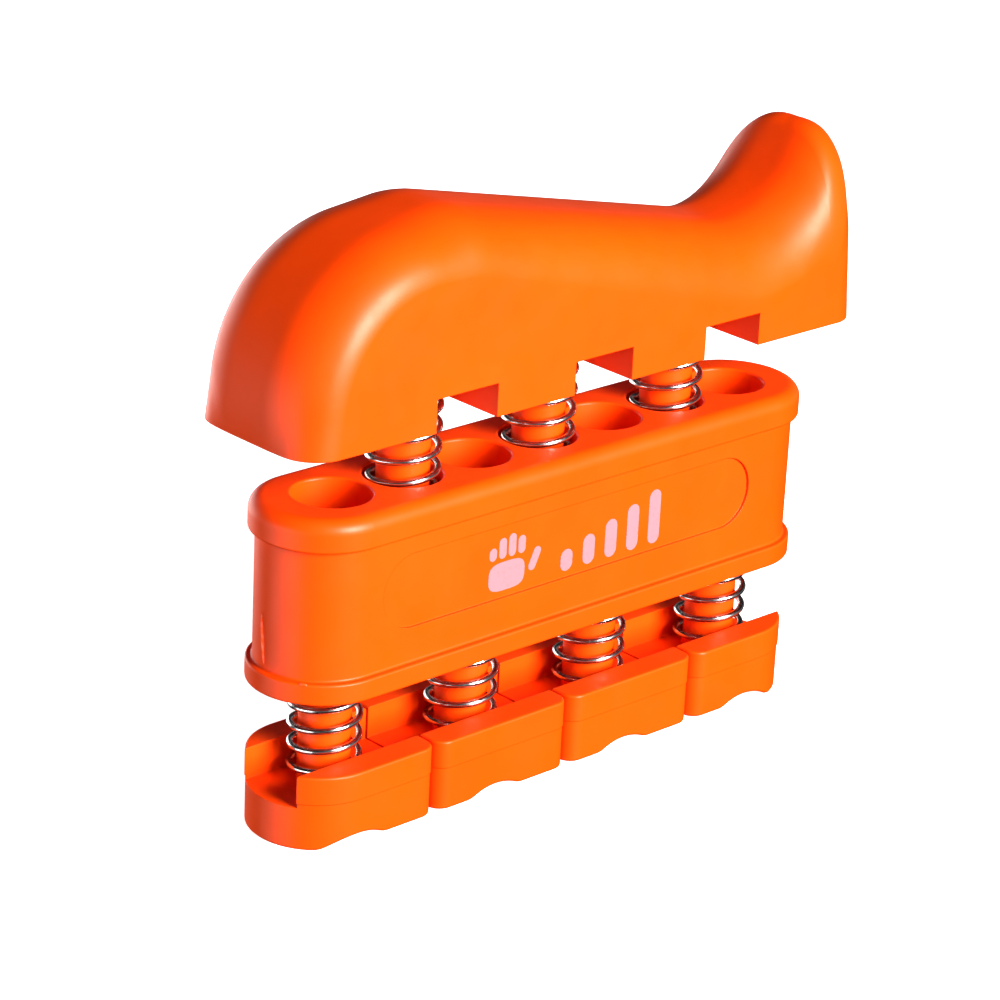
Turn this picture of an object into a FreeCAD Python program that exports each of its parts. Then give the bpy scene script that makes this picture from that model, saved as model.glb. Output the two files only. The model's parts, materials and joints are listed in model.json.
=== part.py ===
import FreeCAD, Part
import math
import os
import Sketcher

# Spring-loaded finger exerciser. Millimetres, +Z up, +X along the row of four finger keys.
# The origin is on the resting face, under the middle of the row, and -Y is the front.
# Bottom to top: four finger keys on springs, the housing that guides them, and the palm grip on
# three springs of its own. Each post slides in a guide hole and is held by a washer and a screw.

SIZES = [
    # name, millimetres (or a plain number), meaning
    ("finger_pitch", 22.0, "distance between neighbouring finger keys"),
    ("stroke", 8.5, "travel of a key, and of the grip"),
    ("key_end_reach", 9.7, "outer key axis to the end of the key row"),
    ("key_depth", 17.2, "front to back over a key's rim"),
    ("key_gap", 0.35, "gap between neighbouring keys"),
    ("key_skirt_step", 0.12, "how far the skirt of a key stands back from its rim"),
    ("key_floor", 5.5, "height of the channel floor that the spring stands on"),
    ("key_rim_lift", 0.6, "underside of the rim above the channel floor"),
    ("key_wall_rise", 4.15, "height of the channel walls above the floor"),
    ("channel_clearance", 0.22, "spring to channel wall, on the radius"),
    ("key_corner", 2.0, "upright corner radius beside a gap"),
    ("key_end_flat", 0.2, "flat left in the middle of a rounded end of the row"),
    ("key_foot_round", 0.3, "rounding of a key's lower edges"),
    ("foot_rise", 0.5, "feet beside a gap above the feet at the ends of the row"),
    ("groove_width", 9.4, "finger groove, across between its shoulders"),
    ("groove_depth", 1.5, "finger groove, deep"),
    ("groove_shift", 1.2, "middle of a finger groove to the left of its key's axis"),
    ("groove_shoulder", 3.0, "rounding where the finger groove meets the foot of a key"),
    ("key_stop_gap", 0.95, "space left between a key's walls and the housing at full stroke"),
    ("flange_end_reach", 10.0, "outer key axis to the end of the housing flanges"),
    ("flange_depth", 17.9, "front to back over the housing flanges"),
    ("wall_inset", 0.85, "how far the housing wall stands back from the flanges"),
    ("lower_flange", 2.7, "height of the lower flange"),
    ("housing_wall", 16.5, "height of the wall between the flanges"),
    ("upper_flange", 4.0, "height of the upper flange"),
    ("flange_round", 1.7, "rounding of the housing's top edge"),
    ("edge_break", 0.3, "small rounding of moulded edges"),
    ("panel_length", 61.5, "recessed panel, along the row"),
    ("panel_height", 9.5, "recessed panel, high"),
    ("panel_shift", 0.7, "middle of the panel to the left of the middle of the row"),
    ("panel_below_top", 11.25, "middle of the panel below the top of the housing"),
    ("panel_recess", 0.35, "depth of the recessed panel"),
    ("post_diameter", 6.5, "posts inside the springs"),
    ("guide_clearance", 0.06, "post to guide hole, on the radius"),
    ("spring_clearance", 0.53, "post to the inside of its spring, on the radius"),
    ("spring_wire", 0.85, "wire diameter"),
    ("key_spring_turns", 8.25, "coils of a key spring"),
    ("palm_spring_turns", 8.25, "coils of a palm spring"),
    ("bore_clearance", 0.24, "spring to bore wall, on the radius"),
    ("guide_shelf", 3.0, "thickness of the shelf that a post slides through"),
    ("key_end_clearance", 0.5, "pressed key's screw below the top of the housing"),
    ("palm_end_clearance", 0.3, "pressed grip's screws above the foot of the housing"),
    ("washer_clearance", 0.47, "retaining washer to bore wall, on the radius"),
    ("washer_thickness", 0.8, "retaining washers, thick"),
    ("screw_head_diameter", 6.0, "pan head, across"),
    ("screw_head_height", 2.2, "pan head, high"),
    ("screw_shank_diameter", 2.9, "shank and pilot hole, across"),
    ("screw_length", 8.0, "shank below the head"),
    ("recess_span", 3.4, "cross recess in the screw head, across"),
    ("recess_width", 0.9, "cross recess, width of an arm"),
    ("recess_depth", 1.2, "cross recess, deep"),
    ("grip_stop_gap", 0.77, "space left between the grip and the housing at full stroke"),
    ("grip_end_reach", 12.9, "outer key axis to the end of the grip"),
    ("grip_depth", 21.8, "front to back over the grip"),
    ("grip_corner", 4.5, "upright corner radius at the foot of the grip's ends"),
    ("slot_clearance", 0.12, "spring to the walls of its slot in the underside of the grip"),
    ("slot_height", 4.2, "spring slot, high"),
]

# The grip's side outline is a belt over round forms, from its horn over the saddle and the crest
# to the heel. For each form: which end it is measured from, its centre's distance from that end,
# its centre's height above the grip's foot, its radius, the same three on the grip's flat sides,
# how far from a side the rounding starts, and whether the belt bends outwards (1) or inwards (-1).
OUTLINE = {
    "horn_back": ("right", (8.6, 16.8, 8.6), (8.0, 4.2, 3.2), 9.3, 1),
    "horn_tip": ("right", (3.8, 21.9, 2.6), (6.7, 7.5, 1.5), 9.3, 1),
    "saddle": ("right", (19.0, 27.7, 13.1), (19.1, 23.4, 17.8), 8.7, -1),
    "crest": ("left", (24.4, 10.7, 14.0), (24.4, 10.7, 7.1), 8.7, 1),
    "heel": ("left", (19.7, 3.7, 20.1), (19.7, 3.7, 14.2), 7.8, 1),
}
GRIP_SECTIONS = 21      # outlines across the depth of the grip
FOOT_TRIM = 1.0         # the grip is lofted this far past its foot, then trimmed flat
KEYS = 4
PALM_POSTS = KEYS - 1

doc = FreeCAD.newDocument("finger_exerciser")
sheet = doc.addObject("Spreadsheet::Sheet", "dimensions")
for row, (alias, value, meaning) in enumerate(SIZES, start=1):
    sheet.set("A%d" % row, alias)
    sheet.set("B%d" % row, str(value))
    sheet.set("C%d" % row, meaning)
    sheet.setAlias("B%d" % row, alias)
doc.recompute()

# Heights and lengths that several pieces share, as expressions on the sheet.
HEIGHTS = {
    "wall_top": "key_floor + key_wall_rise",
    "housing_base": "wall_top + stroke + key_stop_gap",
    "housing_height": "lower_flange + housing_wall + upper_flange",
    "housing_top": "housing_base + housing_height",
    "screw_stack": "washer_thickness + screw_head_height",
    "key_shelf_top": "housing_top - key_end_clearance - stroke - screw_stack",
    "palm_shelf_top": "housing_base + palm_end_clearance + stroke + screw_stack + guide_shelf",
    "grip_foot": "housing_top + stroke + grip_stop_gap",
    "slot_ceiling": "grip_foot + slot_height",
    "spring_diameter": "post_diameter + 2 * spring_clearance + 2 * spring_wire",
    "bore_diameter": "spring_diameter + 2 * bore_clearance",
    "guide_diameter": "post_diameter + 2 * guide_clearance",
    "washer_diameter": "bore_diameter - 2 * washer_clearance",
    "key_channel": "spring_diameter + 2 * channel_clearance",
    "slot_width": "spring_diameter + 2 * slot_clearance",
    "row_length": "%d * finger_pitch" % (KEYS - 1),
    "flange_length": "row_length + 2 * flange_end_reach",
    "wall_length": "flange_length - 2 * wall_inset",
    "wall_depth": "flange_depth - 2 * wall_inset",
    "palm_row_length": "%d * finger_pitch" % (PALM_POSTS - 1),
    "key_half_pitch": "(finger_pitch - key_gap) / 2",
    "key_post_length": "key_shelf_top - key_floor",
    "palm_post_length": "slot_ceiling - palm_shelf_top + guide_shelf",
    "key_spring_length": "key_shelf_top - guide_shelf - key_floor",
    "palm_spring_length": "slot_ceiling - palm_shelf_top",
}
for row, (alias, expression) in enumerate(HEIGHTS.items(), start=len(SIZES) + 2):
    sheet.set("A%d" % row, alias)
    sheet.set("B%d" % row, "=" + expression)
    sheet.setAlias("B%d" % row, alias)
doc.recompute()

NAMES = {entry[0] for entry in SIZES} | set(HEIGHTS)


def size(name):
    """A number from the sheet."""
    return float(sheet.get(name))


def on_sheet(expression):
    """The same expression with each size written as a cell of the sheet."""
    words = expression.replace("(", "( ").replace(")", " )").split()
    return " ".join("dimensions." + word if word in NAMES else word for word in words)


def bind(item, prop, expression):
    """Tie a property to an expression of sizes."""
    item.setExpression(prop, on_sheet(expression))


def plane(body, role):
    """One of the body's own origin planes."""
    return [feature for feature in body.Origin.OriginFeatures if feature.Role == role][0]


def new_body(label, x="0", y="0", z="0"):
    """A body with its label, placed by expressions."""
    body = doc.addObject("PartDesign::Body", label)
    body.Label = label
    for axis, expression in zip("xyz", (x, y, z)):
        bind(body, "Placement.Base." + axis, expression)
    return body


def new_sketch(body, name, role, at=("0", "0", "0")):
    """An empty sketch on a plane of the body, moved by expressions in its own directions."""
    sketch = body.newObject("Sketcher::SketchObject", name)
    sketch.AttachmentSupport = [(plane(body, role), "")]
    sketch.MapMode = "FlatFace"
    for axis, expression in zip("xyz", at):
        bind(sketch, "AttachmentOffset.Base." + axis, expression)
    return sketch


def constrain(sketch, name, constraint, expression):
    """Add a named constraint and tie it to an expression."""
    index = sketch.addConstraint(constraint)
    sketch.renameConstraint(index, name)
    bind(sketch, "Constraints." + name, expression)


def add_circle(sketch, name, diameter):
    """A circle about the sketch's own centre."""
    geometry = sketch.addGeometry(Part.Circle(FreeCAD.Vector(), FreeCAD.Vector(0, 0, 1), 1.0))
    sketch.addConstraint(Sketcher.Constraint("Coincident", geometry, 3, -1, 1))
    constrain(sketch, name, Sketcher.Constraint("Diameter", geometry, 2.0), diameter)


def add_rectangle(sketch, width, height):
    """A rectangle about the sketch's own centre."""
    corners = [FreeCAD.Vector(*xy, 0) for xy in ((-2, -1), (2, -1), (2, 1), (-2, 1))]
    lines = [Part.LineSegment(corners[i], corners[(i + 1) % 4]) for i in range(4)]
    first = sketch.addGeometry(lines)[0]
    for i in range(4):
        sketch.addConstraint(Sketcher.Constraint("Coincident", first + i, 2, first + (i + 1) % 4, 1))
        sketch.addConstraint(Sketcher.Constraint("Vertical" if i % 2 else "Horizontal", first + i))
    sketch.addConstraint(Sketcher.Constraint("Symmetric", first, 1, first + 2, 1, -1, 1))
    constrain(sketch, "width", Sketcher.Constraint("DistanceX", first, 1, first, 2, 4.0), width)
    constrain(sketch, "height", Sketcher.Constraint("DistanceY", first + 1, 1, first + 1, 2, 2.0), height)


def add_stadium(sketch, length, height):
    """Two parallel lines joined by half circles, about the sketch's own centre."""
    normal = FreeCAD.Vector(0, 0, 1)
    radius = size(height) / 2
    right_end = FreeCAD.Vector(size(length) / 2 - radius, 0, 0)
    rise = FreeCAD.Vector(0, radius, 0)
    quarter = math.pi / 2
    right = Part.ArcOfCircle(Part.Circle(right_end, normal, radius), -quarter, quarter)
    left = Part.ArcOfCircle(Part.Circle(-right_end, normal, radius), quarter, 3 * quarter)
    outline = [Part.LineSegment(-right_end - rise, right_end - rise), right,
               Part.LineSegment(right_end + rise, -right_end + rise), left]
    first = sketch.addGeometry(outline)[0]
    for number in range(4):
        following = first + (number + 1) % 4
        sketch.addConstraint(Sketcher.Constraint("Tangent", first + number, 2, following, 1))
    sketch.addConstraint(Sketcher.Constraint("Horizontal", first))
    sketch.addConstraint(Sketcher.Constraint("Symmetric", first + 1, 3, first + 3, 3, -1, 1))
    span = Sketcher.Constraint("DistanceX", first + 3, 3, first + 1, 3, 2 * right_end.x)
    constrain(sketch, "straight", span, "%s - %s" % (length, height))
    constrain(sketch, "end_radius", Sketcher.Constraint("Radius", first + 1, radius), "%s / 2" % height)


def pad(body, name, sketch, length, both_ways=False):
    """Raise a sketch along its normal, or half each way."""
    feature = body.newObject("PartDesign::Pad", name)
    feature.Profile = sketch
    bind(feature, "Length", length)
    if both_ways:
        feature.SideType = "Symmetric"
    return feature


def pocket(body, name, sketch, depth, upwards=False):
    """Cut a sketch into the body against its normal, or along it."""
    feature = body.newObject("PartDesign::Pocket", name)
    feature.Profile = sketch
    feature.Reversed = upwards
    bind(feature, "Length", depth)
    return feature


def pocket_through(body, name, sketch):
    """Cut a sketch right through the body, both ways."""
    feature = body.newObject("PartDesign::Pocket", name)
    feature.Profile = sketch
    feature.Type = "ThroughAll"
    feature.SideType = "Symmetric"
    return feature


def repeat_along_row(body, feature, count, length):
    """Repeat a feature along +X and make the pattern the body's tip."""
    pattern = body.newObject("PartDesign::LinearPattern", feature.Name + "_row")
    pattern.Originals = [feature]
    pattern.Direction = (feature.Profile[0], ["H_Axis"])
    pattern.Occurrences = count
    bind(pattern, "Length", length)
    body.Tip = pattern
    doc.recompute()
    return pattern


def edges_where(feature, wanted):
    """Names of the feature's edges whose middle point and shape pass a test."""
    names = []
    for number, edge in enumerate(feature.Shape.Edges, start=1):
        middle = edge.valueAt((edge.FirstParameter + edge.LastParameter) / 2)
        if wanted(edge, middle):
            names.append("Edge%d" % number)
    return names


def round_edges(body, name, feature, wanted, radius):
    """Fillet the edges of a feature that pass a test."""
    doc.recompute()
    names = edges_where(feature, wanted)
    if not names:
        raise RuntimeError("%s finds no edge" % name)
    fillet = body.newObject("PartDesign::Fillet", name)
    fillet.Base = (feature, names)
    bind(fillet, "Radius", radius)
    doc.recompute()
    return fillet


def close_to(value, target):
    """Whether two lengths are the same."""
    return abs(value - target) < 1e-4


def level(edge, height):
    """Whether an edge lies flat at a height."""
    return all(close_to(vertex.Z, height) for vertex in edge.Vertexes)


# --- Housing: two flanges and a wall, with four key bores and three palm bores -----------------

def make_bores(body, kind, count, row_length, shelf_top):
    """Stepped bores: a wide bore above and below a shelf with a guide hole."""
    first = "0 - %s / 2" % row_length
    steps = (
        ("upper_bore", "housing_top", "bore_diameter", "housing_top - %s" % shelf_top, False),
        ("lower_bore", "housing_base", "bore_diameter",
         "%s - guide_shelf - housing_base" % shelf_top, True),
        ("guide_hole", "housing_top", "guide_diameter", "housing_height", False),
    )
    for step, height, diameter, depth, upwards in steps:
        sketch = new_sketch(body, "%s_%s_sketch" % (kind, step), "XY_Plane", (first, "0", height))
        add_circle(sketch, "bore", diameter)
        cut = pocket(body, "%s_%s" % (kind, step), sketch, depth, upwards)
        repeat_along_row(body, cut, count, row_length)


def make_housing():
    """The block in the middle, which guides every post."""
    body = new_body("housing")
    levels = (
        ("lower_flange_pad", "flange_length", "flange_depth", "housing_base", "lower_flange"),
        ("wall_pad", "wall_length", "wall_depth", "housing_base + lower_flange", "housing_wall"),
        ("upper_flange_pad", "flange_length", "flange_depth",
         "housing_base + lower_flange + housing_wall", "upper_flange"),
    )
    for name, length, depth, base, height in levels:
        sketch = new_sketch(body, name + "_sketch", "XY_Plane", ("0", "0", base))
        add_stadium(sketch, length, depth)
        tip = pad(body, name, sketch, height)
    top = size("housing_top")
    crease = size("housing_base") + size("lower_flange")
    tip = round_edges(body, "top_round", tip, lambda edge, middle: level(edge, top), "flange_round")
    small = (size("housing_base"), crease, top - size("upper_flange"))
    reach = size("flange_depth") / 2 - size("wall_inset") / 2

    def on_flange_rim(edge, middle):
        outside = abs(middle.y) > reach or abs(middle.x) > size("row_length") / 2 + reach
        return outside and any(level(edge, height) for height in small)

    round_edges(body, "flange_edge_break", tip, on_flange_rim, "edge_break")
    face = ("0 - panel_shift", "housing_top - panel_below_top", "flange_depth / 2 - wall_inset")
    panel = new_sketch(body, "panel_sketch", "XZ_Plane", face)
    add_stadium(panel, "panel_length", "panel_height")
    pocket(body, "front_panel", panel, "panel_recess")
    make_bores(body, "key", KEYS, "row_length", "key_shelf_top")
    make_bores(body, "palm", PALM_POSTS, "palm_row_length", "palm_shelf_top")
    tip = body.Tip
    mouths = (size("housing_base"), top)
    bore_radius = size("bore_diameter") / 2

    def on_bore_mouth(edge, middle):
        if not isinstance(edge.Curve, Part.Circle) or not close_to(edge.Curve.Radius, bore_radius):
            return False
        return any(level(edge, height) for height in mouths)

    round_edges(body, "bore_edge_break", tip, on_bore_mouth, "edge_break")
    return body


# --- Finger keys: a channel for the spring above, a groove for the finger below -----------------

def upright(edge, base):
    """Whether an edge stands upright on or above a height."""
    heights = sorted(vertex.Z for vertex in edge.Vertexes)
    return len(heights) == 2 and heights[1] - heights[0] > 1 and heights[0] > base - 1e-4


def make_key(number):
    """One finger key with its post; the outer two have rounded ends."""
    outer = {0: -1, KEYS - 1: 1}.get(number, 0)
    body = new_body("finger_key_%d" % (number + 1), "%d * finger_pitch - row_length / 2" % number)
    blocks = (
        ("skirt", "key_skirt_step", "0", "key_floor + key_rim_lift"),
        ("rim", "0", "key_floor + key_rim_lift", "key_wall_rise - key_rim_lift"),
    )
    for name, stand_back, base, height in blocks:
        width = "2 * key_half_pitch"
        centre = "0"
        if outer:
            width = "key_half_pitch + key_end_reach - %s" % stand_back
            centre = "%d * ( key_end_reach - %s - key_half_pitch ) / 2" % (outer, stand_back)
        sketch = new_sketch(body, name + "_sketch", "XY_Plane", (centre, "0", base))
        add_rectangle(sketch, width, "key_depth - 2 * %s" % stand_back)
        tip = pad(body, name, sketch, height)
        doc.recompute()
        floor = sketch.AttachmentOffset.Base.z
        tip = round_edges(body, name + "_gap_corners", tip,
                          lambda edge, middle: upright(edge, floor) and middle.x * outer <= 0,
                          "key_corner")
        if outer:
            round_edges(body, name + "_row_end", tip,
                        lambda edge, middle: upright(edge, floor) and middle.x * outer > 0.5
                        and abs(middle.y) > size("key_depth") / 2 - 1,
                        "( key_depth - key_end_flat ) / 2 - %s" % stand_back)
    channel = new_sketch(body, "channel_sketch", "YZ_Plane",
                         ("0", "key_floor + key_wall_rise / 2", "0"))
    add_rectangle(channel, "key_channel", "key_wall_rise")
    pocket_through(body, "channel", channel)
    raised = new_sketch(body, "raised_foot_sketch", "XZ_Plane",
                        ("- groove_shift - %d * finger_pitch" % outer, "0", "0"))
    add_rectangle(raised, "%d * finger_pitch" % (2 if outer else 4), "2 * foot_rise")
    pocket_through(body, "raised_foot", raised)
    chord, depth = size("groove_width") / 2, size("groove_depth")
    groove_radius = (chord ** 2 + depth ** 2) / (2 * depth)
    feet = {0.0: chord}
    feet[size("foot_rise")] = math.sqrt(groove_radius ** 2
                                        - (groove_radius - depth + size("foot_rise")) ** 2)
    groove = new_sketch(body, "groove_sketch", "XZ_Plane",
                        ("- groove_shift", "groove_depth - %.4f" % groove_radius, "0"))
    add_circle(groove, "groove", "%.4f" % (2 * groove_radius))
    tip = pocket_through(body, "finger_groove", groove)
    tip = round_edges(body, "groove_shoulders", tip,
                      lambda edge, middle: any(
                          level(edge, foot)
                          and close_to(abs(middle.x + size("groove_shift")), half_width)
                          for foot, half_width in feet.items()),
                      "groove_shoulder")
    tip = round_edges(body, "foot_round", tip,
                      lambda edge, middle: any(level(edge, foot) for foot in feet)
                      and abs(middle.x + size("groove_shift")) > 1.25 * chord,
                      "key_foot_round")
    top = size("wall_top")
    half_channel = size("key_channel") / 2
    tip = round_edges(body, "rim_edge_break", tip,
                      lambda edge, middle: level(edge, top) and abs(middle.y) > half_channel + 0.1
                      and (abs(middle.y) > size("key_depth") / 2 - 0.01 or edge.Curve.TypeId
                           == "Part::GeomCircle"),
                      "edge_break")
    post = new_sketch(body, "post_sketch", "XY_Plane", ("0", "0", "key_floor"))
    add_circle(post, "post", "post_diameter")
    pad(body, "post", post, "key_post_length")
    pilot = new_sketch(body, "pilot_sketch", "XY_Plane", ("0", "0", "key_shelf_top"))
    add_circle(pilot, "pilot", "screw_shank_diameter")
    pocket(body, "pilot_hole", pilot, "screw_length - washer_thickness")
    return body


# --- Palm grip: a lofted handle with spring slots and posts below -------------------------------

def form_at(name, depth):
    """Centre and radius of one round form of the outline at a distance from the middle plane."""
    side, middle, flat, rounding, bend = OUTLINE[name]
    inner = size("grip_depth") / 2 - rounding
    share = min(max((abs(depth) - inner) / rounding, 0), 1)
    bow = 1 - math.sqrt(1 - share ** 2)
    reach, rise, radius = [a + (b - a) * bow for a, b in zip(middle, flat)]
    end = size("row_length") / 2 + size("grip_end_reach")
    x = end - reach if side == "right" else reach - end
    return x, size("grip_foot") + rise, radius * bend


def foot_corner(direction, depth):
    """The lower corner of the outline at one end, drawn in by the upright corner radius."""
    rounding = size("grip_corner")
    share = min(max((abs(depth) - size("grip_depth") / 2 + rounding) / rounding, 0), 1)
    end = size("row_length") / 2 + size("grip_end_reach")
    inset = rounding * (1 - math.sqrt(1 - share ** 2))
    return direction * (end - inset), size("grip_foot") - FOOT_TRIM, 0.0


def belt_line(one, other):
    """The straight run of the belt between two round forms: both ends and the outward normal."""
    across, up = other[0] - one[0], other[1] - one[1]
    span = math.hypot(across, up)
    lean = (one[2] - other[2]) / span
    upright_share = math.sqrt(1 - lean ** 2)
    inward = ((-lean * across - upright_share * up) / span,
              (-lean * up + upright_share * across) / span)
    start = (one[0] - inward[0] * one[2], one[1] - inward[1] * one[2])
    finish = (other[0] - inward[0] * other[2], other[1] - inward[1] * other[2])
    return start, finish


def outline_wire(depth):
    """The closed side outline of the grip at a distance from the middle plane."""
    forms = [foot_corner(1, depth)]
    forms += [form_at(name, depth) for name in OUTLINE]
    forms.append(foot_corner(-1, depth))

    def point(xz):
        return FreeCAD.Vector(xz[0], depth, xz[1])

    runs = [belt_line(one, other) for one, other in zip(forms, forms[1:])]
    edges = []
    for number, (start, finish) in enumerate(runs):
        edges.append(Part.LineSegment(point(start), point(finish)).toShape())
        if number + 1 < len(runs):
            x, z, radius = forms[number + 1]
            leave = runs[number + 1][0]
            between = ((finish[0] + leave[0]) / 2 - x, (finish[1] + leave[1]) / 2 - z)
            scale = abs(radius) / math.hypot(*between)
            middle = (x + between[0] * scale, z + between[1] * scale)
            edges.append(Part.Arc(point(finish), point(middle), point(leave)).toShape())
    edges.append(Part.LineSegment(point(runs[-1][1]), point(runs[0][0])).toShape())
    return Part.Wire(edges)


def make_grip():
    """The palm grip: lofted blank, three spring slots and three posts."""
    blank = doc.addObject("Part::Feature", "grip_blank")
    half_depth = size("grip_depth") / 2
    turns = [math.pi * (number / (GRIP_SECTIONS - 1) - 0.5) for number in range(GRIP_SECTIONS)]
    wires = [outline_wire(half_depth * math.sin(turn)) for turn in turns]
    loft = Part.makeLoft(wires, True, False)
    length = size("row_length") + 2 * size("grip_end_reach")
    waste = Part.makeBox(length + 2, size("grip_depth") + 2, 2 * FOOT_TRIM)
    waste.translate(FreeCAD.Vector(-length / 2 - 1, -half_depth - 1,
                                   size("grip_foot") - 2 * FOOT_TRIM))
    blank.Shape = loft.cut(waste)
    body = doc.addObject("PartDesign::Body", "palm_grip")
    body.Label = "palm_grip"
    body.BaseFeature = blank
    doc.recompute()
    first = "0 - palm_row_length / 2"
    slot = new_sketch(body, "slot_sketch", "XZ_Plane", (first, "grip_foot + slot_height / 2", "0"))
    add_rectangle(slot, "slot_width", "slot_height")
    cut = pocket_through(body, "spring_slot", slot)
    repeat_along_row(body, cut, PALM_POSTS, "palm_row_length")
    post = new_sketch(body, "post_sketch", "XY_Plane", (first, "0", "slot_ceiling"))
    add_circle(post, "post", "post_diameter")
    raised = pad(body, "post", post, "palm_post_length")
    raised.Reversed = True
    repeat_along_row(body, raised, PALM_POSTS, "palm_row_length")
    pilot = new_sketch(body, "pilot_sketch", "XY_Plane", (first, "0", "palm_shelf_top - guide_shelf"))
    add_circle(pilot, "pilot", "screw_shank_diameter")
    hole = pocket(body, "pilot_hole", pilot, "screw_length - washer_thickness", True)
    repeat_along_row(body, hole, PALM_POSTS, "palm_row_length")
    return body


# --- Springs: open wire coils with their end turns ground flat ----------------------------------

def make_spring(label, x, base, length, turns):
    """A coil swept along a helix and ground flat to its length at both ends."""
    coil_radius = "( spring_diameter - spring_wire ) / 2"
    helix = doc.addObject("Part::Helix", label + "_helix")
    bind(helix, "Radius", coil_radius)
    bind(helix, "Height", "%s - spring_wire / 2" % length)
    bind(helix, "Pitch", "( %s - spring_wire / 2 ) / %s" % (length, turns))
    bind(helix, "Placement.Base.z", "spring_wire / 4")
    wire = doc.addObject("Part::Circle", label + "_wire")
    bind(wire, "Radius", "spring_wire / 2")
    wire.Placement.Rotation = FreeCAD.Rotation(FreeCAD.Vector(1, 0, 0), 90)
    bind(wire, "Placement.Base.x", coil_radius)
    bind(wire, "Placement.Base.z", "spring_wire / 4")
    coil = doc.addObject("Part::Sweep", label + "_coil")
    coil.Sections = [wire]
    coil.Spine = (helix, ["Edge1"])
    coil.Solid = True
    coil.Frenet = True
    envelope = doc.addObject("Part::Cylinder", label + "_envelope")
    bind(envelope, "Radius", "spring_diameter")
    bind(envelope, "Height", length)
    spring = doc.addObject("Part::Common", label)
    spring.Base = coil
    spring.Tool = envelope
    spring.Label = label
    bind(spring, "Placement.Base.x", x)
    bind(spring, "Placement.Base.z", base)
    return spring


# --- Fasteners: a plain washer and a pan-head screw on each post --------------------------------

def make_washer(label, x, base):
    """A flat ring standing on its lower face."""
    body = new_body(label, x, "0", base)
    sketch = new_sketch(body, "ring_sketch", "XY_Plane")
    add_circle(sketch, "rim", "washer_diameter")
    add_circle(sketch, "hole", "screw_shank_diameter")
    pad(body, "ring", sketch, "washer_thickness")
    return body


def make_screw(label, x, seat, points_up):
    """A pan-head screw with a cross recess; its seat is the underside of the head."""
    body = new_body(label, x, "0", seat)
    if points_up:
        body.Placement.Rotation = FreeCAD.Rotation(FreeCAD.Vector(1, 0, 0), 180)
    head = new_sketch(body, "head_sketch", "XY_Plane")
    add_circle(head, "head", "screw_head_diameter")
    tip = pad(body, "head", head, "screw_head_height")
    doc.recompute()
    top = size("screw_head_height")
    round_edges(body, "head_round", tip, lambda edge, middle: level(edge, top),
                "screw_head_height / 2")
    shank = new_sketch(body, "shank_sketch", "XY_Plane")
    add_circle(shank, "shank", "screw_shank_diameter")
    shank_pad = pad(body, "shank", shank, "screw_length")
    shank_pad.Reversed = True
    for name, span, width in (("recess_one", "recess_span", "recess_width"),
                              ("recess_two", "recess_width", "recess_span")):
        arm = new_sketch(body, name + "_sketch", "XY_Plane", ("0", "0", "screw_head_height"))
        add_rectangle(arm, span, width)
        pocket(body, name, arm, "recess_depth")
    return body


sub_parts = [make_housing()]
for number in range(KEYS):
    axis = "%d * finger_pitch - row_length / 2" % number
    sub_parts.append(make_key(number))
    sub_parts.append(make_spring("key_spring_%d" % (number + 1), axis, "key_floor",
                                 "key_spring_length", "key_spring_turns"))
    sub_parts.append(make_washer("key_washer_%d" % (number + 1), axis, "key_shelf_top"))
    sub_parts.append(make_screw("key_screw_%d" % (number + 1), axis,
                                "key_shelf_top + washer_thickness", False))
sub_parts.append(make_grip())
for number in range(PALM_POSTS):
    axis = "%d * finger_pitch - palm_row_length / 2" % number
    under_shelf = "palm_shelf_top - guide_shelf - washer_thickness"
    sub_parts.append(make_spring("palm_spring_%d" % (number + 1), axis, "palm_shelf_top",
                                 "palm_spring_length", "palm_spring_turns"))
    sub_parts.append(make_washer("palm_washer_%d" % (number + 1), axis, under_shelf))
    sub_parts.append(make_screw("palm_screw_%d" % (number + 1), axis, under_shelf, True))
doc.recompute()

for item in doc.Objects:
    if "Invalid" in item.State or "Error" in item.State:
        raise RuntimeError("%s failed: %s" % (item.Label, item.State))
for part in sub_parts:
    if part.Shape.isNull() or not part.Shape.isValid() or len(part.Shape.Solids) != 1:
        raise RuntimeError("%s is not one valid solid" % part.Label)

os.makedirs("parts", exist_ok=True)
for part in sub_parts:
    part.Shape.exportStep(os.path.join("parts", part.Label + ".step"))
    box = part.Shape.BoundBox
    print("%-16s volume %9.2f  x %.2f..%.2f  y %.2f..%.2f  z %.2f..%.2f" % (
        part.Label, part.Shape.Volume, box.XMin, box.XMax, box.YMin, box.YMax, box.ZMin, box.ZMax))
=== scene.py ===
"""Four-key finger exerciser: springs, finishes, moulding marks, panel print and studio."""
import json
import math

import bpy
import numpy as np
from bpy.props import FloatProperty, FloatVectorProperty, IntProperty, PointerProperty
from mathutils import Matrix, Vector


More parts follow.
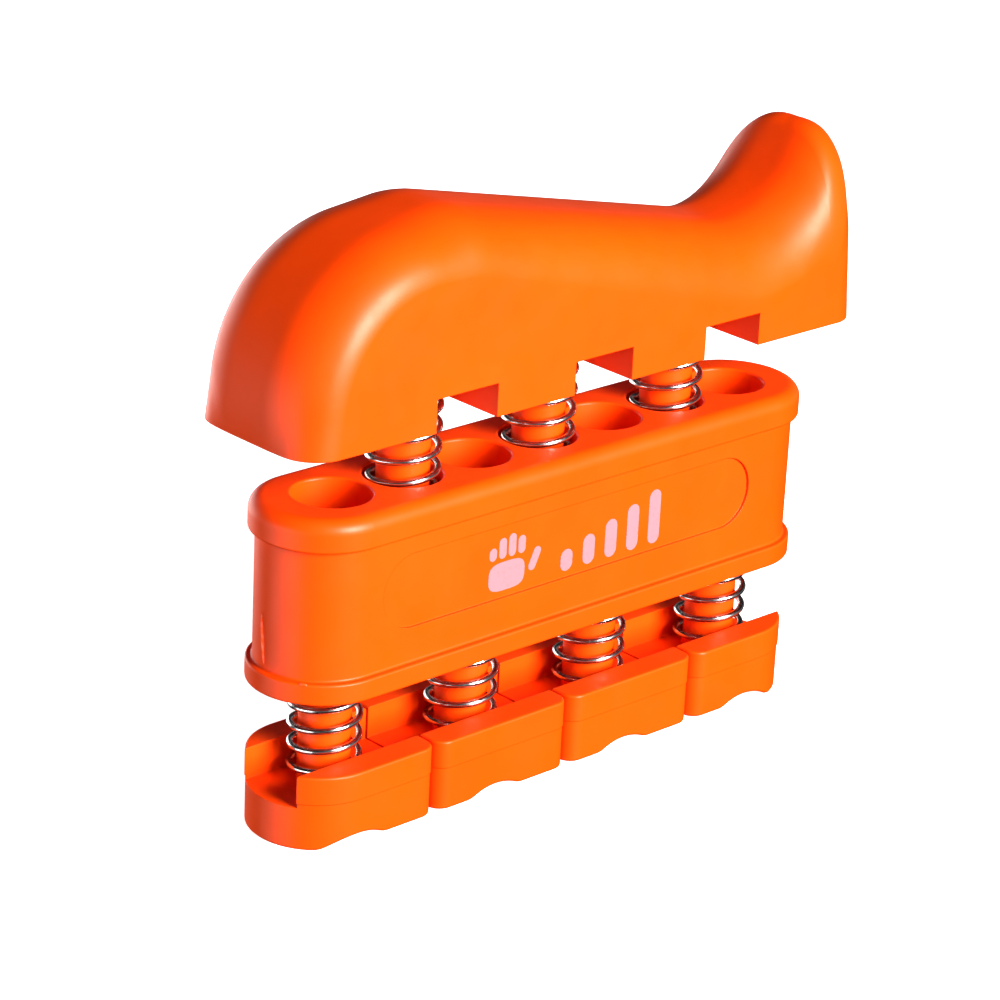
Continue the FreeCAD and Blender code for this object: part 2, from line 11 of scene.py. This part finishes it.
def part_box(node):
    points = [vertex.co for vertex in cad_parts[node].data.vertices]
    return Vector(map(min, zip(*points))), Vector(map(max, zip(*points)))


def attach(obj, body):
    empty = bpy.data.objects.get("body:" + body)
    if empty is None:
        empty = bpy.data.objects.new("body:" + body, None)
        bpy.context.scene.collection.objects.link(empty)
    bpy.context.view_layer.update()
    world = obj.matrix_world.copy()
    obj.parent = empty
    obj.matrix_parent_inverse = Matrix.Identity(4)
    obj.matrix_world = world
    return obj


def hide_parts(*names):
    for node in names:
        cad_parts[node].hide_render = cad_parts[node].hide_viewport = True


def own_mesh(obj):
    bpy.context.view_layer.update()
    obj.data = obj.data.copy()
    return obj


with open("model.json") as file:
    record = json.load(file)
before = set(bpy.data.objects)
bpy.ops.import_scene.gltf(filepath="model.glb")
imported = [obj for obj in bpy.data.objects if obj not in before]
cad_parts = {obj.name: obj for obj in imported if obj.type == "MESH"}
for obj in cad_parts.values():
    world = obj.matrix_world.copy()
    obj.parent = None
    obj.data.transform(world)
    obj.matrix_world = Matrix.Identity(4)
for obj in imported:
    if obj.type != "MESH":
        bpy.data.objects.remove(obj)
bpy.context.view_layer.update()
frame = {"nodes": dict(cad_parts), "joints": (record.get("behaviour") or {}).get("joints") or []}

bl_info = {
    "name": "Finger exerciser",
    "version": (1, 0, 0),
    "blender": (4, 5, 0),
    "location": "View3D > Sidebar > Exerciser",
    "description": "Springs, finishes and a studio for a four-key finger exerciser",
    "category": "Object",
}

MM = 0.001
HOUSING, GRIP = "housing", "palm_grip"
HOUSING_BODY = "housing_body"
KEYS = sorted(name for name in frame["nodes"] if name.startswith("finger_key_"))
FASTENERS = sorted(name for name in frame["nodes"] if "washer" in name or "screw" in name)
SPRING_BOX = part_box("key_spring_1")
HOUSING_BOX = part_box(HOUSING)
PALM_SQUARENESS = 3.4
# About where the axis of the housing's round end stands, as a share of the end's distance.
END_AXIS_SHARE = 0.775
# Moulding flash: name, start and end of the ridge, its width and how far it stands out, in mm.
FLASH = (
    ("end_wall_flash", (-42.04, 1.31, 28.9), (-42.12, 0.63, 22.4), 0.36, 0.28),
    ("flange_flash", (-41.4, -4.9, 21.75), (-40.8, -5.8, 21.72), 0.45, 0.16),
)
# Softboxes: name, turn and rise in degrees, distance, width and height in metres, and the
# studio setting that holds the power.
SOFTBOXES = (
    ("front_softbox", 4, 20, 0.75, 0.36, 0.40, "key_power"),
    ("left_fill", -104, -14, 0.80, 0.80, 0.50, "fill_power"),
    ("back_fill", 178, -4, 0.80, 0.70, 0.50, "fill_power"),
)
# The room's brightness from straight down at 0, through the horizon at 0.5, to straight up at 1.
LOWEST_BAND = 0.42, (0.03, 0.03, 0.03, 1)
HORIZON_BANDS = ((0.48, 1.0), (0.53, 1.0), (0.60, 0.08))
HIGHEST_BAND = 1.0, (0.10, 0.10, 0.105, 1)
SENSOR_WIDTH_MM = 36
NEAREST, FARTHEST = 0.01, 50
# Sockets of the Mix node when it mixes colours.
MIX_FACTOR, MIX_COLOURS, MIX_RESULT = 0, (6, 7), 2


# --- Sizes and colours that a user would change -------------------------------------------------

class ExerciserPlastic(bpy.types.PropertyGroup):
    """Orange moulded plastic of the grip, the housing and the keys."""
    colour: FloatVectorProperty(
        name="Colour", description="Pigment of the plastic", subtype="COLOR", size=3,
        min=0, max=1, default=(0.92, 0.083, 0.0006))
    roughness: FloatProperty(
        name="Roughness", description="Semi-gloss of the tool-polished skin", subtype="FACTOR",
        min=0, max=1, default=0.40)
    grain_size: FloatProperty(
        name="Grain size", description="Spacing of the fine mould grain", subtype="DISTANCE",
        unit="LENGTH", min=0.00002, default=0.22 * MM)
    grain_depth: FloatProperty(
        name="Grain depth", description="Height of the fine mould grain", subtype="DISTANCE",
        unit="LENGTH", min=0, default=0.009 * MM)
    edge_round: FloatProperty(
        name="Edge round", description="Apparent rounding of crisp moulded edges",
        subtype="DISTANCE", unit="LENGTH", min=0, default=0.16 * MM)


class ExerciserSprings(bpy.types.PropertyGroup):
    """Compression springs of the keys and the grip."""
    wire: FloatProperty(
        name="Wire", description="Wire diameter", subtype="DISTANCE", unit="LENGTH",
        min=0.0001, default=0.85 * MM)
    turns: FloatProperty(
        name="Turns", description="Coils of each spring", min=2, default=8.25)
    key_phase: FloatProperty(
        name="Key spring phase", description="How far the keys' springs are turned, in coils",
        default=-0.36)
    palm_phase: FloatProperty(
        name="Grip spring phase", description="How far the grip's springs are turned, in coils",
        default=0.38)
    closed_turns: FloatProperty(
        name="Closed turns", description="Coils at each end that close down onto the next",
        min=0, default=0.35)
    steps: IntProperty(
        name="Steps", description="Rings of the mesh in one coil", min=12, default=56)
    sides: IntProperty(
        name="Sides", description="Corners of the wire's section", min=6, default=14)
    colour: FloatVectorProperty(
        name="Steel colour", description="Colour of the bright drawn wire", subtype="COLOR",
        size=3, min=0, max=1, default=(0.62, 0.60, 0.60))


class ExerciserPrint(bpy.types.PropertyGroup):
    """Generic hand mark printed on the recessed front panel."""
    colour: FloatVectorProperty(
        name="Ink colour", description="Pale pink printing ink", subtype="COLOR", size=3,
        min=0, max=1, default=(0.60, 0.185, 0.205))
    height: FloatProperty(
        name="Height", description="Height of the mark", subtype="DISTANCE", unit="LENGTH",
        min=0, default=7.2 * MM)
    corners: IntProperty(
        name="Corners", description="Points round each printed stroke", min=12, default=64)
    film: FloatProperty(
        name="Ink film", description="Thickness of the ink on the panel", subtype="DISTANCE",
        unit="LENGTH", min=0, default=0.03 * MM)


class ExerciserStudio(bpy.types.PropertyGroup):
    """Camera and lights."""
    azimuth: FloatProperty(
        name="Azimuth", description="Camera direction round the object, 0 facing its front",
        subtype="ANGLE", unit="ROTATION", default=math.radians(-43.52))
    elevation: FloatProperty(
        name="Elevation", description="Camera height above the horizon", subtype="ANGLE",
        unit="ROTATION", default=math.radians(21.65))
    roll: FloatProperty(
        name="Roll", description="Camera turned about its line of sight", subtype="ANGLE",
        unit="ROTATION", default=math.radians(2.79))
    distance: FloatProperty(
        name="Distance", description="Camera to the point it looks at", subtype="DISTANCE",
        unit="LENGTH", default=0.4472)
    lens: FloatProperty(
        name="Lens", description="Focal length on a 36 mm sensor", subtype="DISTANCE_CAMERA",
        default=131.5)
    target: FloatVectorProperty(
        name="Target", description="Point that the camera looks at", subtype="XYZ",
        unit="LENGTH", size=3, default=(-5.82 * MM, 0, 34.92 * MM))
    key_power: FloatProperty(
        name="Key light", description="Power of the large front softbox", unit="POWER",
        default=20)
    fill_power: FloatProperty(
        name="Fill light", description="Power of the left and back fills", unit="POWER",
        default=4.2)
    contrast: FloatProperty(
        name="Contrast", description="Display gamma; below 1 deepens the shadows", min=0.5,
        max=1.5, default=0.83)
    surround: FloatProperty(
        name="Surround", description="Brightness of the pale room", min=0, default=0.36)


# --- Meshes -------------------------------------------------------------------------------------

def grid_faces(rows, columns, wrap):
    """Quads between neighbouring rows and columns of a grid, joined round if it wraps."""
    along = np.arange(rows - 1)[:, None] * columns
    across = np.arange(columns if wrap else columns - 1)[None, :]
    following = (across + 1) % columns
    corners = (along + across, along + following, along + columns + following,
               along + columns + across)
    return np.stack(corners, axis=-1).reshape(-1, 4)


def new_piece(name, points, faces, smooth=True):
    """A mesh object in the scene from arrays of points and of face corners."""
    mesh = bpy.data.meshes.new(name)
    mesh.from_pydata(points.tolist(), [], [list(map(int, face)) for face in faces])
    mesh.validate()
    mesh.polygons.foreach_set("use_smooth", [smooth] * len(mesh.polygons))
    mesh.update()
    piece = bpy.data.objects.new(name, mesh)
    bpy.context.scene.collection.objects.link(piece)
    return piece


def finish_mesh(piece, material):
    """Give a piece its only material."""
    piece.data.materials.clear()
    piece.data.materials.append(material)
    return piece


def coil_surface(axis, base, top, outer, phase, settings):
    """Rings of a round wire carried along a right-hand helix.

    At turn t the path is axis + radius (cos 2 pi t, sin 2 pi t), and its height is the running
    sum of a climb that is even except over the closed turns, where it follows the square root
    of the way in from the end. Every point is held between the two end planes, which is how
    the ends are ground flat.
    """
    radius = (outer - settings.wire) / 2
    count = int(round(settings.turns * settings.steps)) + 1
    turn = np.linspace(0, settings.turns, count)
    shortest_ease = 1e-3
    ease = max(settings.closed_turns, shortest_ease)
    climb = np.sqrt(np.clip(turn / ease, 0, 1)
                    * np.clip((settings.turns - turn) / ease, 0, 1))
    share = np.concatenate([[0], np.cumsum((climb[1:] + climb[:-1]) / 2)])
    share = share / share[-1]
    quarter_wire = settings.wire / 4
    height = base + quarter_wire + share * (top - base - 2 * quarter_wire)
    angle = 2 * np.pi * (turn + phase)
    outward = np.stack([np.cos(angle), np.sin(angle), np.zeros(count)], axis=1)
    path = np.stack([axis[0] + radius * outward[:, 0], axis[1] + radius * outward[:, 1], height],
                    axis=1)
    forward = np.gradient(path, axis=0)
    forward /= np.linalg.norm(forward, axis=1, keepdims=True)
    upward = np.cross(outward, forward)
    round_wire = 2 * np.pi * np.arange(settings.sides) / settings.sides
    rings = (path[:, None, :]
             + settings.wire / 2 * (np.cos(round_wire)[None, :, None] * outward[:, None, :]
                                    - np.sin(round_wire)[None, :, None] * upward[:, None, :]))
    rings[..., 2] = np.clip(rings[..., 2], base, top)
    faces = grid_faces(count, settings.sides, wrap=True)
    return rings.reshape(-1, 3), faces, count


def make_spring(name, settings, material):
    """One spring in place of its plain node, with closed, ground ends and capped wire."""
    low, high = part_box(name)
    axis = ((low.x + high.x) / 2, 0.0)
    outer = SPRING_BOX[1].x - SPRING_BOX[0].x
    phase = settings.palm_phase if name.startswith("palm") else settings.key_phase
    points, faces, count = coil_surface(axis, low.z, high.z, outer, phase, settings)
    first_ring = list(range(settings.sides))[::-1]
    last_ring = [(count - 1) * settings.sides + side for side in range(settings.sides)]
    piece = new_piece(name + "_coil", points, list(faces) + [first_ring, last_ring])
    return finish_mesh(piece, material)


def front_of(name, x, z):
    """How far forward a CAD node reaches at a place on its front, found with a ray."""
    well_in_front = -1
    hit, place, _, _ = frame["nodes"][name].ray_cast(Vector((x, well_in_front, z)),
                                                     Vector((0, 1, 0)))
    if not hit:
        raise ValueError(f"{name} has no front at {x}, {z}")
    return place.y


def stroke_outline(start, end, radius, corners):
    """A bar with round ends: a circle whose half towards each end is carried to that end."""
    along = np.subtract(end, start)
    turned = math.atan2(along[1], along[0])
    angle = turned - np.pi / 2 + 2 * np.pi * (np.arange(corners) + 0.5) / corners
    circle = radius * np.stack([np.cos(angle), np.sin(angle)], axis=1)
    far_half = (np.arange(corners) < corners / 2)[:, None]
    return circle + np.where(far_half, end, start)


def palm_outline(centre, half_width, half_height, corners):
    """A rounded square: the superellipse |x|^3.4 + |z|^3.4 = 1, stretched to its half sizes."""
    angle = 2 * np.pi * (np.arange(corners) + 0.5) / corners
    outline = np.stack([np.cos(angle), np.sin(angle)], axis=1)
    outline = np.sign(outline) * np.abs(outline) ** (2 / PALM_SQUARENESS)
    return outline * (half_width, half_height) + centre


def mark_outlines(settings):
    """A hand beside five rising bars, in tenths of the mark's height from its low left corner."""
    corners = settings.corners
    palm_middle, palm_half_width, palm_half_height = (5.1, 2.7), 4.1, 2.6
    finger_radius, finger_root, first_finger, finger_gap = 0.85, 6.75, 1.85, 2.17
    finger_tips = (7.4, 8.8, 9.15, 8.3)
    thumb_root, thumb_tip = (10.9, 3.0), (12.0, 5.4)
    bars, bar_radius, first_bar, bar_gap = 5, 1.4, 19.0, 5.2
    bar_foot, first_bar_top, bar_rise = 1.4, 2.6, 1.5
    outlines = [palm_outline(palm_middle, palm_half_width, palm_half_height, corners)]
    for number, tip in enumerate(finger_tips):
        column = first_finger + finger_gap * number
        outlines.append(stroke_outline((column, finger_root), (column, tip), finger_radius,
                                       corners))
    outlines.append(stroke_outline(thumb_root, thumb_tip, finger_radius, corners))
    for number in range(bars):
        column = first_bar + bar_gap * number
        top = first_bar_top + bar_rise * number
        outlines.append(stroke_outline((column, bar_foot), (column, top), bar_radius, corners))
    return outlines


def print_mark(settings, material):
    """The strokes of the mark as thin closed films standing on the floor of the front panel."""
    low, high = HOUSING_BOX
    unit = settings.height / 10
    outlines = np.stack(mark_outlines(settings))
    middle = (outlines.min(axis=(0, 1)) + outlines.max(axis=(0, 1))) / 2
    flat = (outlines - middle) * unit + ((low.x + high.x) / 2, (low.z + high.z) / 2)
    floor = front_of(HOUSING, (low.x + high.x) / 2, (low.z + high.z) / 2)
    strokes, corners = flat.shape[:2]
    layers = [np.insert(flat, 1, level, axis=2) for level in (floor + settings.film,
                                                               floor - settings.film)]
    points = np.stack(layers, axis=1).reshape(-1, 3)
    ring = np.arange(corners)
    following = (ring + 1) % corners
    side = np.stack([ring, following, following + corners, ring + corners], axis=1)
    faces = []
    for stroke in range(strokes):
        first = stroke * 2 * corners
        faces += (side + first).tolist()
        faces += [(ring[::-1] + first).tolist(), (ring + first + corners).tolist()]
    return finish_mesh(new_piece("panel_print", points, faces, smooth=False), material)


def moulding_sliver(name, start, end, width, stand, material):
    """A thin ridge left by the mould: an oval section carried from start to end.

    Its width and height follow the square root of the sine of the way along, so that it fades
    out at both ends. It points away from the axis of the housing's round end, and its back
    half is sunk into the wall.
    """
    rows, columns = 25, 16
    bluntness = 0.004
    along = np.linspace(0, 1, rows)
    fade = np.sqrt(np.sin(np.pi * np.clip(along, bluntness, 1 - bluntness)))[:, None]
    line = start + along[:, None] * (end - start)
    middle = (start + end) / 2
    outward = middle - (HOUSING_BOX[0].x * END_AXIS_SHARE, 0, middle[2])
    outward /= np.linalg.norm(outward)
    sideways = np.cross(outward, (end - start) / np.linalg.norm(end - start))
    angle = 2 * np.pi * np.arange(columns) / columns
    rings = (line[:, None, :]
             + (width / 2 * fade * np.cos(angle))[..., None] * sideways
             + (stand * fade * np.sin(angle))[..., None] * outward)
    faces = grid_faces(rows, columns, wrap=True).tolist()
    faces += [list(range(columns))[::-1], [(rows - 1) * columns + c for c in range(columns)]]
    return finish_mesh(new_piece(name, rings.reshape(-1, 3), faces), material)


# --- Materials ----------------------------------------------------------------------------------

class Recipe:
    """A material's node tree with short ways to add and join nodes."""

    def __init__(self, name):
        self.material = bpy.data.materials.new(name)
        self.material.use_nodes = True
        self.tree = self.material.node_tree
        self.tree.nodes.clear()
        self.output = self.tree.nodes.new("ShaderNodeOutputMaterial")
        self.shader = self.add("ShaderNodeBsdfPrincipled")
        self.join(self.shader, 0, self.output, "Surface")
        coordinates = self.add("ShaderNodeTexCoord")
        self.place = self.add("ShaderNodeMapping")
        self.place.inputs["Scale"].default_value = (1 / MM,) * 3
        self.join(coordinates, "Object", self.place, "Vector")

    def add(self, kind, **values):
        """A node with its attributes or inputs set."""
        made = self.tree.nodes.new(kind)
        for key, value in values.items():
            if hasattr(made, key):
                setattr(made, key, value)
            else:
                made.inputs[key.replace("_", " ")].default_value = value
        return made

    def join(self, source, output, target, socket):
        """A link from one node's output to another's input."""
        self.tree.links.new(source.outputs[output], target.inputs[socket])

    def noise(self, period, detail=2.0, roughness=0.5):
        """Noise with its features a period apart, in millimetres."""
        made = self.add("ShaderNodeTexNoise", Scale=1 / period, Detail=detail,
                        Roughness=roughness)
        self.join(self.place, "Vector", made, "Vector")
        return made

    def spread(self, source, low=0.0, high=1.0, from_low=0.3, from_high=0.7):
        """A node's first output stretched to a new range."""
        made = self.add("ShaderNodeMapRange")
        for socket, value in (("From Min", from_low), ("From Max", from_high),
                              ("To Min", low), ("To Max", high)):
            made.inputs[socket].default_value = value
        self.join(source, 0, made, "Value")
        return made

    def paint(self, factor, one, other):
        """The base colour, from one colour to the other as the factor goes from 0 to 1."""
        made = self.add("ShaderNodeMix", data_type="RGBA")
        self.join(factor, 0, made, MIX_FACTOR)
        for socket, colour in zip(MIX_COLOURS, (one, other)):
            made.inputs[socket].default_value = (*colour, 1)
        self.join(made, MIX_RESULT, self.shader, "Base Color")

    def polish(self, source, low, high):
        """The roughness, from low to high over the middle of the source's range."""
        self.join(self.spread(source, low, high), 0, self.shader, "Roughness")

    def press(self, source, depth, strength, after=None):
        """The normal, from a bump on top of an earlier one."""
        self.join(self.bump(source, depth, strength, after), "Normal", self.shader, "Normal")

    def bump(self, source, depth, strength, after=None):
        """A bump of a depth in metres, on top of an earlier normal."""
        made = self.add("ShaderNodeBump", Strength=strength, Distance=depth)
        self.join(source, 0, made, "Height")
        if after is not None:
            self.join(after, "Normal", made, "Normal")
        return made


def scaled(colour, factor):
    """A colour made lighter or darker."""
    return tuple(min(1.0, channel * factor) for channel in colour)


def orange_plastic(settings):
    """Orange polypropylene: even pigment with faint flow marks, fine grain and soft edges."""
    recipe = Recipe("orange_polypropylene")
    flow = recipe.noise(period=14.0, detail=3.0, roughness=0.55)
    mottle = recipe.spread(flow, from_low=0.35, from_high=0.65)
    recipe.paint(mottle, scaled(settings.colour, 0.955), scaled(settings.colour, 1.03))
    haze = recipe.noise(period=5.0, detail=4.0, roughness=0.6)
    recipe.polish(haze, settings.roughness - 0.035, settings.roughness + 0.05)
    soften = recipe.add("ShaderNodeBevel", samples=6, Radius=settings.edge_round)
    waves = recipe.noise(period=7.0, detail=1.0)
    sink = recipe.bump(waves, depth=0.03 * MM, strength=0.5, after=soften)
    grain = recipe.noise(period=settings.grain_size / MM, detail=2.0, roughness=0.6)
    recipe.press(grain, depth=settings.grain_depth, strength=0.8, after=sink)
    recipe.shader.inputs["IOR"].default_value = 1.49
    recipe.shader.inputs["Specular IOR Level"].default_value = 0.32
    return recipe.material


def bright_wire(settings):
    """Drawn spring wire: polished metal with cloudy tint, smears and fine draw lines."""
    recipe = Recipe("bright_spring_wire")
    tint = recipe.noise(period=2.2, detail=3.0)
    recipe.paint(recipe.spread(tint), scaled(settings.colour, 0.82),
                 scaled(settings.colour, 1.1))
    smear = recipe.noise(period=0.5, detail=4.0, roughness=0.65)
    recipe.polish(smear, low=0.17, high=0.28)
    lines = recipe.noise(period=0.16, detail=3.0, roughness=0.7)
    recipe.press(lines, depth=0.004 * MM, strength=0.5)
    recipe.shader.inputs["Metallic"].default_value = 1.0
    return recipe.material


def zinc_plate():
    """Zinc-plated washers and screws: grey metal with a cloudy, slightly yellow film."""
    recipe = Recipe("zinc_plated_steel")
    bare_zinc, yellow_film = (0.50, 0.51, 0.53), (0.62, 0.60, 0.52)
    cloud = recipe.noise(period=1.8, detail=4.0, roughness=0.6)
    recipe.paint(recipe.spread(cloud), bare_zinc, yellow_film)
    recipe.polish(cloud, low=0.28, high=0.44)
    soften = recipe.add("ShaderNodeBevel", samples=4, Radius=0.12 * MM)
    tumbled = recipe.noise(period=0.3, detail=3.0)
    recipe.press(tumbled, depth=0.01 * MM, strength=0.6, after=soften)
    recipe.shader.inputs["Metallic"].default_value = 1.0
    return recipe.material


def printing_ink(settings):
    """Pad-printed ink: pale and matt, with the orange faintly showing through thin spots."""
    recipe = Recipe("pale_printing_ink")
    orange, ink_share, orange_share = (0.93, 0.12, 0.01), 0.8, 0.2
    show_through = tuple(ink_share * ink + orange_share * base
                         for ink, base in zip(settings.colour, orange))
    cover = recipe.noise(period=0.45, detail=4.0, roughness=0.7)
    recipe.paint(recipe.spread(cover, from_low=0.30, from_high=0.42), show_through,
                 settings.colour)
    recipe.polish(cover, low=0.42, high=0.58)
    recipe.press(cover, depth=0.006 * MM, strength=0.6)
    return recipe.material


def stressed_plastic(settings):
    """Thin moulding flash, which turns paler and duller than the wall that it stands on."""
    recipe = Recipe("stressed_orange_plastic")
    pigment_share, whitening = 0.9, 0.1
    pale = tuple(pigment_share * channel + whitening for channel in settings.colour)
    strain = recipe.noise(period=0.7, detail=3.0, roughness=0.6)
    recipe.paint(recipe.spread(strain, from_low=0.35, from_high=0.6), pale,
                 scaled(settings.colour, 1.05))
    recipe.polish(strain, low=0.38, high=0.55)
    torn = recipe.noise(period=0.12, detail=3.0)
    recipe.press(torn, depth=0.02 * MM, strength=0.6)
    return recipe.material


def pale_floor():
    """Self-lit white paper with faint unevenness."""
    recipe = Recipe("pale_paper")
    shaded_paper, bright_paper = (0.83, 0.83, 0.835), (0.86, 0.86, 0.86)
    fibre = recipe.noise(period=90.0, detail=3.0)
    recipe.paint(recipe.spread(fibre), shaded_paper, bright_paper)
    recipe.shader.inputs["Roughness"].default_value = 0.9
    recipe.shader.inputs["Emission Color"].default_value = (1, 1, 1, 1)
    recipe.shader.inputs["Emission Strength"].default_value = 1.0
    tooth = recipe.noise(period=1.2, detail=3.0)
    recipe.press(tooth, depth=0.02 * MM, strength=0.3)
    return recipe.material


# --- Operators ----------------------------------------------------------------------------------

class EXERCISER_OT_plastic(bpy.types.Operator):
    """Give the grip, the housing and the keys their orange plastic"""
    bl_idname = "exerciser.plastic"
    bl_label = "Moulded plastic"

    def execute(self, context):
        material = orange_plastic(context.scene.exerciser_plastic)
        for name in [GRIP, HOUSING, *KEYS]:
            finish_mesh(frame["nodes"][name], material)
        return {"FINISHED"}


class EXERCISER_OT_springs(bpy.types.Operator):
    """Wind the four key springs and the three grip springs"""
    bl_idname = "exerciser.springs"
    bl_label = "Springs"

    def execute(self, context):
        settings = context.scene.exerciser_springs
        material = bright_wire(settings)
        for joint in frame["joints"]:
            for deformed in joint["deforming_nodes"]:
                name = deformed["node"]
                piece = make_spring(name, settings, material)
                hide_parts(name)
                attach(piece, HOUSING_BODY)
                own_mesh(piece)
        return {"FINISHED"}


class EXERCISER_OT_fasteners(bpy.types.Operator):
    """Give the washers and screws on the posts their zinc plate"""
    bl_idname = "exerciser.fasteners"
    bl_label = "Washers and screws"

    def execute(self, context):
        material = zinc_plate()
        for name in FASTENERS:
            finish_mesh(frame["nodes"][name], material)
        return {"FINISHED"}


class EXERCISER_OT_print(bpy.types.Operator):
    """Print the generic hand mark on the front panel"""
    bl_idname = "exerciser.print"
    bl_label = "Panel print"

    def execute(self, context):
        settings = context.scene.exerciser_print
        mark = print_mark(settings, printing_ink(settings))
        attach(mark, HOUSING_BODY)
        return {"FINISHED"}


class EXERCISER_OT_flash(bpy.types.Operator):
    """Leave the moulding flash on the end of the housing and on its lower flange"""
    bl_idname = "exerciser.flash"
    bl_label = "Moulding flash"

    def execute(self, context):
        material = stressed_plastic(context.scene.exerciser_plastic)
        for name, start, end, width, stand in FLASH:
            sliver = moulding_sliver(name, np.array(start) * MM, np.array(end) * MM,
                                     width * MM, stand * MM, material)
            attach(sliver, HOUSING_BODY)
        return {"FINISHED"}


class EXERCISER_OT_stage(bpy.types.Operator):
    """Lay the pale floor, hang the soft lights and set up the camera"""
    bl_idname = "exerciser.stage"
    bl_label = "Studio"

    def execute(self, context):
        settings = context.scene.exerciser_studio
        lay_floor()
        add_camera(settings)
        add_surround(settings)
        target = Vector(settings.target)
        for name, turn, rise, away, width, height, power in SOFTBOXES:
            towards = direction(math.radians(turn), math.radians(rise))
            add_softbox(name, target, towards, away, (width, height), getattr(settings, power))
        context.scene.view_settings.view_transform = "Standard"
        context.scene.view_settings.look = "None"
        context.scene.view_settings.gamma = settings.contrast
        return {"FINISHED"}


def lay_floor():
    """A round white sheet just under the keys' feet: rings of radius reach t^2, and a middle.

    It throws no shadow, and doesn't show in the shading or the reflections of the pieces.
    """
    rings, sides, reach, first_share, drop = 12, 96, 6.0, 0.02, 0.02 * MM
    radius = reach * np.linspace(first_share, 1, rings) ** 2
    angle = 2 * np.pi * np.arange(sides) / sides
    points = np.stack([radius[:, None] * np.cos(angle), radius[:, None] * np.sin(angle),
                       np.full((rings, sides), -drop)], axis=-1).reshape(-1, 3)
    faces = list(grid_faces(rings, sides, wrap=True)[:, ::-1]) + [list(range(sides))]
    floor = finish_mesh(new_piece("floor", points, faces), pale_floor())
    floor.visible_diffuse = floor.visible_glossy = floor.visible_shadow = False


def direction(turn, rise):
    """Unit vector at a turn from the front towards +X and a rise above the horizon."""
    return Vector((math.sin(turn) * math.cos(rise), -math.cos(turn) * math.cos(rise),
                   math.sin(rise)))


def add_softbox(name, target, towards, away, size, power):
    """A rectangular area light in a direction from the target, which it faces."""
    light = bpy.data.lights.new(name, "AREA")
    light.shape = "RECTANGLE"
    light.size, light.size_y = size
    light.energy = power
    lamp = bpy.data.objects.new(name, light)
    bpy.context.scene.collection.objects.link(lamp)
    lamp.location = target + towards * away
    lamp.rotation_euler = towards.to_track_quat("Z", "Y").to_euler()


def add_camera(settings):
    """The camera on its line of sight, rolled about it."""
    back = direction(settings.azimuth, settings.elevation)
    right = Vector((math.cos(settings.azimuth), math.sin(settings.azimuth), 0))
    upward = back.cross(right)
    across = right * math.cos(settings.roll) + upward * math.sin(settings.roll)
    above = upward * math.cos(settings.roll) - right * math.sin(settings.roll)
    lens = bpy.data.cameras.new("camera")
    lens.lens = settings.lens
    lens.sensor_width = SENSOR_WIDTH_MM
    lens.clip_start, lens.clip_end = NEAREST, FARTHEST
    camera = bpy.data.objects.new("camera", lens)
    bpy.context.scene.collection.objects.link(camera)
    turned = Matrix((across, above, back)).transposed().to_4x4()
    camera.matrix_world = Matrix.Translation(Vector(settings.target)
                                             + back * settings.distance) @ turned
    bpy.context.scene.camera = camera


def add_surround(settings):
    """A room with a white band at the horizon that is dim overhead and below."""
    world = bpy.data.worlds.new("pale_room")
    bpy.context.scene.world = world
    world.use_nodes = True
    tree = world.node_tree
    coordinates = tree.nodes.new("ShaderNodeTexCoord")
    split = tree.nodes.new("ShaderNodeSeparateXYZ")
    ramp = tree.nodes.new("ShaderNodeValToRGB")
    raised = tree.nodes.new("ShaderNodeMapRange")
    raised.inputs["From Min"].default_value = -1
    bands = ramp.color_ramp.elements
    bands[0].position, bands[0].color = LOWEST_BAND
    bands[1].position, bands[1].color = HIGHEST_BAND
    for position, grey in HORIZON_BANDS:
        band = bands.new(position)
        band.color = (grey, grey, grey, 1)
    tree.links.new(coordinates.outputs["Generated"], split.inputs[0])
    tree.links.new(split.outputs["Z"], raised.inputs["Value"])
    tree.links.new(raised.outputs[0], ramp.inputs[0])
    tree.links.new(ramp.outputs[0], tree.nodes["Background"].inputs[0])
    tree.nodes["Background"].inputs[1].default_value = settings.surround


class EXERCISER_PT_panel(bpy.types.Panel):
    """Lists the pieces of the exerciser and their settings"""
    bl_idname = "EXERCISER_PT_panel"
    bl_label = "Finger exerciser"
    bl_space_type = "VIEW_3D"
    bl_region_type = "UI"
    bl_category = "Exerciser"

    def draw(self, context):
        for group, operator in SECTIONS:
            box = self.layout.box()
            box.operator(operator)
            if group:
                settings = getattr(context.scene, group)
                for name in settings.__annotations__:
                    box.prop(settings, name)


SECTIONS = (
    ("exerciser_studio", "exerciser.stage"),
    ("exerciser_plastic", "exerciser.plastic"),
    ("exerciser_springs", "exerciser.springs"),
    (None, "exerciser.fasteners"),
    ("exerciser_print", "exerciser.print"),
    (None, "exerciser.flash"),
)
GROUPS = {
    "exerciser_plastic": ExerciserPlastic,
    "exerciser_springs": ExerciserSprings,
    "exerciser_print": ExerciserPrint,
    "exerciser_studio": ExerciserStudio,
}
CLASSES = (*GROUPS.values(), EXERCISER_OT_stage, EXERCISER_OT_plastic, EXERCISER_OT_springs,
           EXERCISER_OT_fasteners, EXERCISER_OT_print, EXERCISER_OT_flash, EXERCISER_PT_panel)


def register():
    """Add the classes and their settings to Blender."""
    for item in CLASSES:
        bpy.utils.register_class(item)
    for name, group in GROUPS.items():
        setattr(bpy.types.Scene, name, PointerProperty(type=group))


def unregister():
    """Take the classes and their settings out again."""
    for name in GROUPS:
        delattr(bpy.types.Scene, name)
    for item in reversed(CLASSES):
        bpy.utils.unregister_class(item)


def main():
    """Build every piece in order."""
    register()
    bpy.ops.exerciser.stage()
    bpy.ops.exerciser.plastic()
    bpy.ops.exerciser.springs()
    bpy.ops.exerciser.fasteners()
    bpy.ops.exerciser.print()
    bpy.ops.exerciser.flash()


if __name__ == "__main__":
    main()
